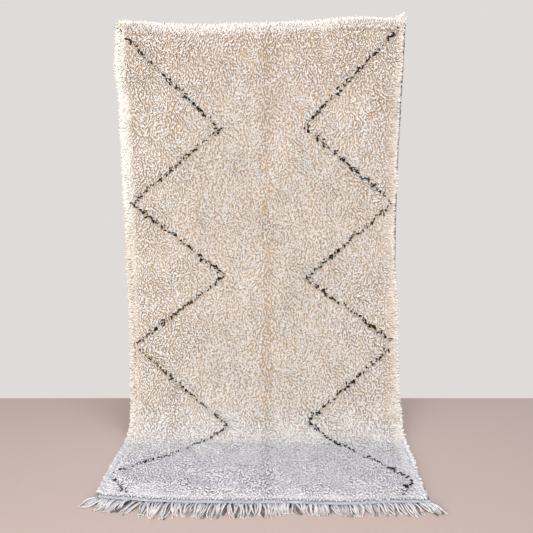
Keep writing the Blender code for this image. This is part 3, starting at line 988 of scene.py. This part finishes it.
# Tufts at the rims: they hang over the whipped edges and stand along the top
rims = {
    "pitch": 0.0042,
    "shake": (0.1, 0.9),     # where in its own step a tuft of the outermost rows stands
    "tall": 0.021,
    "left": {"lean": 0.80, "root": -0.002, "lift": 0.008},
    "right": {"lean": 0.45, "root": -0.005, "lift": 0.009},
    "head": {"lean": 0.20, "root": 0.003, "lift": 0.006},
    "headRows": [            # rows of tufts below the hem: run, height, lean, pitch
        (0.006, 0.024, 0.55, 0.0055),
        (0.015, 0.027, 0.50, 0.0060),
        (0.025, 0.028, 0.40, 0.0075),
        (0.034, 0.027, 0.25, 0.0080),
        (0.042, 0.026, 0.15, 0.0085),
        (0.050, 0.026, 0.10, 0.0090),
    ],
    "combed": {              # rows of long locks laid towards an edge: how far in, height, lean, pitch
        "left": [(0.006, 0.022, 1.05, 0.0050), (0.018, 0.024, 0.95, 0.0060)],
        "right": [(0.019, 0.022, 1.34, 0.0060), (0.030, 0.028, 1.28, 0.0065), (0.044, 0.032, 1.20, 0.0075)],
    },
    "cover": {               # run or x, and how far the tufts hide the edge there, from 0 to 1
        "left": [(0.00, 0.4), (0.03, 0.6), (0.16, 0.7), (0.22, 1.0), (2.80, 1.0)],
        "right": [(0.00, 0.0), (0.74, 0.0), (0.79, 0.9), (0.84, 0.9), (0.88, 0.0), (1.22, 0.1),
                  (1.32, 1.0), (2.46, 0.9), (2.56, 0.1), (2.80, 0.0)],
        "head": [(-0.76, 0.6), (-0.70, 1.0), (-0.58, 1.0), (-0.50, 0.0), (0.36, 0.0), (0.42, 0.6),
                 (0.60, 0.8), (0.66, 1.0), (0.72, 1.0), (0.76, 0.2)],
    },
    "clear": 0.015,          # tufts below the hem keep this far from a dark knot
    "bare": 0.010,           # pile left off beside a side edge that shows
    "shapes": [
        ("tuft", 0.62, 0.10, 0.14, 1.00),
        ("plume", 0.85, -0.14, 0.18, 0.92),
        ("tuftCurl", 0.55, 0.30, 0.20, 0.95),
    ],
    "flare": [               # long tufts at the top right corner: x, tall, sideways lean
        (0.700, 0.046, 0.00),
        (0.694, 0.038, -0.40),
        (0.705, 0.050, 0.30),
        (0.712, 0.040, 0.90),
        (0.687, 0.034, -0.20),
        (0.698, 0.042, 0.55),
        (0.709, 0.044, 0.50),
        (0.703, 0.038, -0.10),
        (0.690, 0.030, 0.10),
    ],
    "stands": (0.6, 0.4, 1.0),  # of a tuft on the crest: upward, sideways, and its size
    "flareStands": (2.2, 1.2, 1.3),  # and of a long one
    "seed": 23,
}


def insideCover(x, run):
    # false for the knots whose locks would hide an edge that shows
    cover = rims["cover"]
    bare = rims["bare"]
    left = (x - fieldEdge(run, -1)) > bare * (1.0 - lookUp(cover["left"], 1, run))
    right = (fieldEdge(run, 1) - x) > bare * (1.0 - lookUp(cover["right"], 1, run))
    return left & right


def spacedOut(rng, start, end, pitch, shake):
    # places from start to end, a pitch apart and each shaken within its own step
    count = round((end - start) / pitch)
    return start + (np.arange(count) + rng.uniform(*shake, count)) * (end - start) / count


def sideRow(rng, side, name):
    # short tufts that hang over a whipped edge
    spec = rims[name]
    run = spacedOut(rng, 0.0, runLength, rims["pitch"], rims["shake"])
    count = len(run)
    cover = lookUp(rims["cover"][name], 1, run)
    inset = rims["bare"] * (1.0 - cover)
    x = fieldEdge(run, side) + side * (spec["root"] - inset) + rng.uniform(-0.003, 0.003, count)
    return knotsAt(
        x, run, spec["lift"] + rng.uniform(-0.004, 0.006, count),
        onCloth(run, side, rng.uniform(-0.5, 0.5, count)),
        rims["tall"] * rng.uniform(0.8, 1.1, count) * (0.75 + 0.25 * cover),
        pale=rimLeanAndHighlight(x - side * 0.004, run)[1],
        lean=spec["lean"] * rng.uniform(0.7, 1.2, count),
        loose=0.3,
    )


def combedRows(rng, side, name):
    # long locks that lie towards an edge, one row over the other
    tables = []
    for inset, tall, lean, pitch in rims["combed"][name]:
        run = spacedOut(rng, 0.0, runLength, pitch, (0.0, 1.0))
        count = len(run)
        x = fieldEdge(run, side) - side * (inset + rng.uniform(-0.004, 0.004, count))
        tables.append(knotsAt(
            x, run, pileThickness(x, run) * rng.uniform(0.50, 0.68, count),
            onCloth(run, side, 0.35 * noiseOn(x, run, 0.06, 7.7) + rng.uniform(-0.18, 0.18, count)),
            tall * rng.uniform(0.8, 1.1, count),
            pale=rimLeanAndHighlight(x, run)[1],
            lean=lean * rng.uniform(0.9, 1.08, count),
            loose=0.15,
            size=1.05,
        ))
    return tables


def headRows(rng, dark):
    # tufts combed up towards the hem
    tables = []
    for place, tall, lean, pitch in rims["headRows"]:
        x = spacedOut(rng, fieldEdge(place, -1), fieldEdge(place, 1), pitch, (0.0, 1.0))
        run = place + rng.uniform(-0.003, 0.003, len(x))
        keep = clearOf(x, run, dark, rims["clear"])
        x, run, count = x[keep], run[keep], int(keep.sum())
        cover = lookUp(rims["cover"]["head"], 1, x)
        tables.append(knotsAt(
            x, run, pileThickness(x, run) * rng.uniform(0.30, 0.45, count),
            onCloth(run, 0.5 * noiseOn(x, run, 0.05, 3.3) + 0.2, -1.0),
            tall * rng.uniform(0.8, 1.1, count) * (0.6 + 0.4 * cover),
            pale=rimShare(x, run, "head") + rng.uniform(-0.15, 0.05, count),
            lean=lean * rng.uniform(0.8, 1.2, count),
            loose=0.5,
        ))
    return tables


def crestRow(rng):
    # tufts that stand along the top edge, and the long ones at its right corner
    x = spacedOut(rng, fieldEdge(0.0, -1), fieldEdge(0.0, 1), rims["pitch"], rims["shake"])
    count = len(x)
    cover = lookUp(rims["cover"]["head"], 1, x)
    tall = rims["tall"] * rng.uniform(0.75, 1.1, count) * (0.3 + 0.7 * cover)
    row = np.stack([x, tall, rng.uniform(-0.1, 0.7, count)], axis=1)
    x, tall, side = np.concatenate([row, rims["flare"]]).T
    run = np.full(len(x), rims["head"]["root"])
    flared = np.arange(len(x))[:, None] >= count
    up, sideways, size = np.where(flared, rims["flareStands"], rims["stands"]).T
    outward = clothFrame(run)[1] + np.stack([side * sideways, np.zeros(len(x)), up], axis=1)
    outward /= np.linalg.norm(outward, axis=1)[:, None]
    return knotsAt(
        x, run, rims["head"]["lift"] + rng.uniform(-0.001, 0.005, len(x)),
        onCloth(run, 1.0, -0.4),
        tall,
        outward=outward,
        pale=1.0,
        lean=rims["head"]["lean"] * rng.uniform(-0.5, 1.5, len(x)),
        loose=0.4,
        size=size,
    )


def makeRims(settings, dark):
    tufts = lockSet("tuft", rims["shapes"])
    rng = np.random.default_rng(rims["seed"])
    tables = []
    for side, name in ((-1, "left"), (1, "right")):
        tables.append(sideRow(rng, side, name))
        tables += combedRows(rng, side, name)
    tables.append(crestRow(rng))
    tables += headRows(rng, dark)
    table = {key: np.concatenate([part[key] for part in tables]) for key in tables[0]}
    piece = grown("rimTufts", table, onKnots, {
        **settings, "Shapes": tufts, "Shape Count": len(rims["shapes"]), "Seed": rims["seed"],
    })
    dropSet(tufts)
    return piece


pilePieces = makePile()
print("stage: pile")


# The bed: the imported roots of the pile, seen between its locks, painted dark tan as the shade between
# them
bed = {"columns": 60, "rows": 116, "inset": 0.004, "rough": 0.0025}


def fieldGrid(columns, rows, inset=0.0):
    run = np.linspace(inset, runLength - inset, rows + 1)
    share = np.linspace(0.0, 1.0, columns + 1)
    left, right = fieldEdge(run, -1) + inset, fieldEdge(run, 1) - inset
    x = left[:, None] + (right - left)[:, None] * share[None, :]
    return x, np.repeat(run[:, None], columns + 1, axis=1)


def makeBed():
    x, run = fieldGrid(bed["columns"], bed["rows"], bed["inset"])
    flatX, flatRun = x.ravel(), run.ravel()
    top = bedTop(flatX, flatRun) + bed["rough"] * noiseOn(flatX, flatRun, 0.017, 1.0)
    obj = clothSlab("pileBed", x, run, rug["weave"] + rug["gap"], top.reshape(x.shape), shadedBedWool)
    setAttribute(obj.data, "pale", "FLOAT", np.tile(rimLeanAndHighlight(flatX, flatRun)[1], 2))
    return obj


pileBed = makeBed()
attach(pileBed, body)


# The woven ground, with the rows of knots showing on its back
ground = {
    "columns": 20,
    "row": 0.0185,           # from one row of knots to the next
    "ridge": 0.0009,
    "wool": (0.70, 0.62, 0.52),
    "weft": (0.50, 0.42, 0.33),
    "between": (0.62, 0.58, 0.54),  # painted shade between two rows of knots
}


def groundFinish():
    finish = Finish("groundWool", roughness=0.95, sheen=0.1)
    cloth = finish.attribute("cloth", "Vector")
    grain = finish.noise(finish.stretched(cloth, (130.0, 210.0, 1.0)), 1.0, 2.0)
    wave = finish.maths("MULTIPLY", finish.part(cloth, 1), 2.0 * math.pi / ground["row"])
    wave = finish.maths("SINE", wave)
    rows = finish.ramp(finish.maths("ADD", finish.maths("MULTIPLY", wave, 0.5), 0.5), [
        (0.15, ground["between"]), (0.55, (1.0, 1.0, 1.0)),
    ])
    colour = finish.ramp(grain, [(0.35, ground["weft"]), (0.60, ground["wool"])])
    finish.colour(finish.mix(1.0, colour, rows, "MULTIPLY"))
    finish.bump(grain, 0.0012, 0.8)
    return finish.material


def makeGround():
    x, run = fieldGrid(ground["columns"], 2 * round(runLength / ground["row"]))
    crest = (np.arange(x.shape[0]) % 2)[:, None] * np.ones(x.shape[1])
    bottom = rug["gap"] + ground["ridge"] * (1.0 - crest)
    return clothSlab("groundWeave", x, run, bottom, rug["weave"], groundFinish())


groundWeave = makeGround()
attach(groundWeave, body)
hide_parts("rug_pile")
print("stage: ground")


# The whipped edges: yarn wound round the side cords, dark and pale by turns
whipping = {
    "turn": 0.0033,          # width of one turn of yarn
    "sides": 6,
    "slant": 0.16,
    "overlap": 0.62,         # half a turn's own width, in turns
    "rounded": 0.86,         # its height at its sides
    "wobble": 0.0003,
    "askew": (0.10, 0.04),   # how far a turn may twist and tilt, radians
    "darkRun": (3, 9),       # turns in a dark group, and in a pale one
    "paleRun": (2, 8),
    "dark": (0.018, 0.017, 0.022),
    "slate": (0.10, 0.11, 0.13),
    "pale": (0.37, 0.37, 0.40),
    "seed": 31,
}


def turnShape():
    wide, low = whipping["turn"] * whipping["overlap"], whipping["rounded"]
    path = [(-wide, 0.0, 0.0), (0.0, 0.0, 0.0), (wide, 0.0, 0.0)]
    points, faces, along = tube(path, [low, 1.0, low], whipping["sides"], pointed=False)
    points[:, 1] *= rug["edgeWide"] / 2
    points[:, 2] *= rug["edgeThick"] / 2
    return points, faces, along


def whippingFinish(name, spec):
    finish = Finish(name, roughness=0.85, sheen=0.1)
    tone = finish.attribute("tone")
    dark = finish.ramp(tone, [(0.3, spec["dark"]), (1.0, spec["slate"])])
    finish.colour(finish.mix(finish.attribute("shade"), dark, spec["pale"]))
    finish.fibres(700.0, 0.0006)
    return finish.material


def runsOf(count, rng, darkRun, paleRun):
    # 0 for dark and 1 for pale turns, in groups
    shade = []
    while len(shade) < count:
        shade += [0.0] * rng.integers(*darkRun)
        shade += [1.0] * rng.integers(*paleRun)
    return np.array(shade[:count])


def makeWhipping(name, side, node):
    rng = np.random.default_rng(whipping["seed"] + side)
    count = round(runLength / whipping["turn"])
    run = (np.arange(count) + 0.5) * runLength / count
    x = fieldEdge(run, side) + side * (rug["gap"] + rug["edgeWide"] / 2)
    wobble = rng.normal(0, whipping["wobble"], count)
    table = knotsAt(
        x + wobble, run, rug["edgeThick"] / 2, onCloth(run, whipping["slant"], 1.0), rug["edgeThick"],
        shade=runsOf(count, rng, whipping["darkRun"], whipping["paleRun"]),
    )
    twist, tilt = whipping["askew"]
    piece = grown(name, table, onKnots, {
        "Shapes": turns, "Shape Count": 1, "Shape Height": rug["edgeThick"],
        "Turn": twist, "Tilt": tilt, "Seed": whipping["seed"], "Wool": whippingYarn,
    })
    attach(piece, body)
    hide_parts(node)
    return piece


whippingYarn = whippingFinish("whippingYarn", whipping)
turns = shapeSet("turn", [turnShape()])
edgePieces = [
    makeWhipping("leftWhipping", -1, "left_selvedge"),
    makeWhipping("rightWhipping", 1, "right_selvedge"),
]
print("stage: whipped edges")


# Flat weave: the hem over the pile and the band in front of it
flatWeave = {
    "column": 0.0075,        # from one warp to the next
    "rib": 0.0008,           # how far the weft stands over the warps
    "lower": 0.001,          # how far the warps lie under the top of the ground weave
    "hemLift": 0.0004,       # how far the first and last row are raised
    "hemRows": 4,
    "bandRows": 8,
    "hem": [(0.35, (0.60, 0.52, 0.43)), (0.62, (0.76, 0.70, 0.60))],
    "band": [(0.35, (0.62, 0.60, 0.60)), (0.62, (0.80, 0.785, 0.78))],
}


def flatFinish(name, colours):
    finish = Finish(name, roughness=0.9, sheen=0.15)
    cloth = finish.attribute("cloth", "Vector")
    weft = finish.noise(finish.stretched(cloth, (40.0, 420.0, 1.0)), 1.0, 2.0)
    finish.colour(finish.ramp(weft, colours))
    finish.bump(finish.noise(finish.stretched(cloth, (500.0, 900.0, 1.0)), 1.0, 2.0), 0.0008, 0.6)
    return finish.material


def makeFlat(name, start, end, rows, finish):
    left, right = outerEdges(start)
    columns = round((right - left) / flatWeave["column"]) * 2
    across = np.linspace(left, right, columns + 1)
    run = np.linspace(start, end, 2 * rows + 1)
    x, run = np.meshgrid(across, run)
    row, column = np.indices(x.shape)
    over = np.cos(np.pi * (row // 2 + column / 2.0)) * (row % 2)
    edge = np.minimum(np.minimum(row, x.shape[0] - 1 - row), 1)
    top = rug["weave"] - flatWeave["lower"] + flatWeave["rib"] * (0.5 * over + (row % 2)) * edge
    bottom = rug["gap"] + flatWeave["hemLift"] * (1 - edge)
    return clothSlab(name, x, run, bottom, top, finish)


headHem = makeFlat("headHem", -(rug["gap"] + rug["hemTall"]), -rug["gap"], flatWeave["hemRows"],
                   flatFinish("hemWool", flatWeave["hem"]))
footBand = makeFlat("footBand", runLength + rug["gap"], runLength + rug["gap"] + rug["bandDeep"],
                    flatWeave["bandRows"], flatFinish("bandWool", flatWeave["band"]))
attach(headHem, body)
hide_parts("head_hem")
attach(footBand, body)
print("stage: flat weave")


# Twining: a two-colour cord that locks the last weft, along the hem's top and the band's front
twining = {
    "turn": 0.0052,
    "askew": (0.25, 0.10),
    "head": {"size": 0.42, "darkRun": (1, 3), "paleRun": (4, 12), "dark": (0.30, 0.27, 0.25),
             "slate": (0.46, 0.40, 0.34), "pale": (0.74, 0.68, 0.58)},
    "foot": {"size": 1.0, "darkRun": (1, 3), "paleRun": (2, 6), "dark": (0.018, 0.016, 0.018),
             "slate": (0.08, 0.06, 0.05), "pale": (0.60, 0.58, 0.57)},
    "gap": 0.0095,           # half width of the gap between two bunches, where the cord is dark, partly painted shade for the hole there
    "loop": [(-0.007, 0.003), (0.0, 0.006), (0.007, 0.003), (0.0, 0.013), (-0.005, 0.010), (0.004, 0.019)],
    "loops": 0.8,            # share of the gaps that have a dark loop, partly painted shade put in the hole between two bunches
    "seed": 47,
}


def makeTwining(name, run, lift, spec, gaps=()):
    rng = np.random.default_rng(twining["seed"])
    left, right = outerEdges(run)
    count = round((right - left) / twining["turn"])
    x = left + (np.arange(count) + 0.5) * (right - left) / count
    runs = np.full(count, run)
    shade = runsOf(count, rng, spec["darkRun"], spec["paleRun"])
    # partly painted shade: the cord is dark in the gaps, and dark loops lie there, for the shaded holes
    # between the bunch roots
    for gap in gaps:
        shade[np.abs(x - gap) < twining["gap"]] = 0.0
        if rng.uniform() < twining["loops"]:
            side, ahead = np.array(twining["loop"]).T
            x = np.append(x, gap + side)
            runs = np.append(runs, run + ahead)
            shade = np.append(shade, 0.0 * side)
    tall = rug["edgeThick"] * spec["size"]
    comb = onCloth(runs, 1.0, 0.5)
    table = knotsAt(x, runs, lift, comb, tall, size=spec["size"] * 1.15, shade=shade)
    twist, tilt = twining["askew"]
    piece = grown(name, table, onKnots, {
        "Shapes": turns, "Shape Count": 1, "Shape Height": rug["edgeThick"],
        "Turn": twist, "Tilt": tilt, "Seed": twining["seed"], "Wool": whippingFinish(name + "Yarn", spec),
    })
    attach(piece, body)
    return piece


headTwining = makeTwining("headTwining", -(rug["gap"] + rug["hemTall"] - 0.0015), 0.0046, twining["head"])


# The fringe: warp ends in bunches, laid out on the floor
fringe = {
    "bunches": 43,
    "strands": (5, 8),
    "points": 12,
    "thick": 0.0049,         # radius of a strand
    "plyDepth": 0.16,
    "twist": 120.0,          # radians of ply twist for each metre
    "rootSpread": 0.0085,    # half width of a bunch at its root
    "fan": 0.125,            # radians from one strand of a bunch to the next
    "arch": 0.012,           # how high a strand rises before it lies down
    "wave": 0.0036,          # how far it sways
    "lay": [                 # x, length, lean in degrees from straight ahead
        (-0.735, 0.085, -62.0),
        (-0.700, 0.100, -44.0),
        (-0.620, 0.105, -22.0),
        (-0.450, 0.122, -10.0),
        (-0.250, 0.106, -7.0),
        (0.000, 0.100, 2.0),
        (0.110, 0.080, 0.0),
        (0.300, 0.080, 4.0),
        (0.500, 0.098, 14.0),
        (0.660, 0.100, 26.0),
        (0.730, 0.100, 44.0),
        (0.765, 0.090, 60.0),
    ],
    # painted shade: strands darken towards their roots, for the shaded holes between the bunches
    "root": (0.22, 0.21, 0.22),
    "body": (0.74, 0.71, 0.68),
    "tip": (0.66, 0.61, 0.56),
    # painted shade: a strand's tone follows how high it arches, so the low ones under the others are darker
    "tones": [(0.0, (0.15, 0.13, 0.12)), (0.36, (0.80, 0.78, 0.76)), (1.0, (1.0, 1.0, 1.0))],
    "taper": [(0.0, 0.75), (0.2, 1.0), (0.8, 1.05), (0.95, 1.0), (1.0, 0.85)],
    "seed": 61,
}


def fringeFinish():
    finish = Finish("fringeYarn", roughness=0.9, sheen=0.2)
    colour = finish.ramp(finish.attribute("along"), [
        (0.0, fringe["root"]), (0.28, fringe["body"]), (1.0, fringe["tip"]),
    ])
    tone = finish.ramp(finish.attribute("tone"), fringe["tones"])
    finish.colour(finish.mix(1.0, colour, tone, "MULTIPLY"))
    finish.fibres(800.0)
    return finish.material


def bunchMiddles():
    # where the bunches leave the band, as x
    rng = np.random.default_rng(fringe["seed"])
    left, right = outerEdges(runLength)
    count = fringe["bunches"]
    return left + (np.arange(count) + 0.5 + rng.uniform(-0.14, 0.14, count)) * (right - left) / count


def strandPath(rng, x, lean, bow, length, lift):
    # a strand from inside the band's edge: up over the twining, then down along the floor
    share = np.linspace(0.0, 1.0, fringe["points"])
    sweep = lean * smoothStep(share / 0.4) + bow * np.cos(0.9 * np.pi * share) + rng.normal(0, 0.07) * share
    step = length / (fringe["points"] - 1)
    dx = np.concatenate([[0.0], np.cumsum(np.sin(sweep[1:]) * step)])
    dy = np.concatenate([[0.0], np.cumsum(np.cos(sweep[1:]) * step)])
    root = clothPlace(x, runLength + rug["gap"] + rug["bandDeep"] - 0.004, 0.0)
    rise = fringe["arch"] * lift * np.sin(np.pi * np.clip(share / 0.75, 0.0, 1.0)) ** 0.8
    low = fringe["thick"] * 0.95
    z = floorZ + low + (0.0035 - low) * (1.0 - smoothStep(share / 0.15)) + rise
    phase = rng.uniform(0.6, 1.2) * share + rng.uniform()
    wave = fringe["wave"] * np.sin(2.0 * np.pi * phase) * smoothStep(share / 0.3)
    return np.stack([root[0] + dx + wave, root[1] - dy, z], axis=1)


def makeFringe():
    rng = np.random.default_rng(fringe["seed"] + 1)
    places, edges, thick, along, tone = [], [], [], [], []
    shares = np.linspace(0.0, 1.0, fringe["points"])
    taper = np.interp(shares, *np.array(fringe["taper"]).T)
    for middle in bunchMiddles():
        lean = math.radians(float(lookUp(fringe["lay"], 2, middle))) + rng.normal(0, 0.10)
        length = float(lookUp(fringe["lay"], 1, middle)) * rng.uniform(0.90, 1.08)
        count = int(rng.integers(*fringe["strands"]))
        for strand in range(count):
            offset = strand - (count - 1) / 2.0
            x = middle + offset * 2.0 * fringe["rootSpread"] / max(count - 1, 1)
            turn = lean + rng.normal(0, 0.06)
            bow = offset * fringe["fan"] * rng.uniform(0.6, 1.3)
            lift = rng.uniform()
            path = strandPath(rng, x, turn, bow, length * rng.uniform(0.86, 1.04), 0.1 + 1.2 * lift)
            first = len(places) * fringe["points"]
            places.append(path)
            edges += [(first + k, first + k + 1) for k in range(fringe["points"] - 1)]
            thick.append(taper * fringe["thick"] * rng.uniform(0.85, 1.15))
            along.append(shares)
            # tone from the lift: painted shade on the lower strands
            tone.append(np.full(fringe["points"], np.clip(lift + rng.uniform(-0.15, 0.15), 0.0, 1.0)))
    table = {
        "place": np.concatenate(places),
        "thick": np.concatenate(thick),
        "along": np.concatenate(along),
        "tone": np.concatenate(tone),
    }
    piece = grown("fringeStrands", table, alongPaths, {
        "Ply Depth": fringe["plyDepth"], "Twist": fringe["twist"], "Wool": fringeFinish(),
    }, edges)
    print("stage: fringe", len(places), "strands", len(piece.data.polygons), "faces")
    return piece


middles = bunchMiddles()
footTwining = makeTwining("footTwining", runLength + rug["bandDeep"] + 0.0010, 0.0058, twining["foot"],
                          (middles[1:] + middles[:-1]) / 2.0)
dropSet(turns)
fringeStrands = makeFringe()
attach(fringeStrands, body)
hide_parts("foot_fringe")


# Floor: a pale plane that ends at the wall
floor = {"colour": (0.58, 0.45, 0.37), "reach": 8.0, "wallSide": 0.35}


def makeFloor():
    finish = Finish("paleFloor", roughness=1.0, specular=0.1)
    finish.colour(floor["colour"])
    far, back = floor["reach"], floor["wallSide"]
    points = [(-far, -far, floorZ), (far, -far, floorZ), (far, back, floorZ), (-far, back, floorZ)]
    return meshObject("paleFloor", points, [(0, 1, 2, 3)], finish.material, smooth=False)


makeFloor()
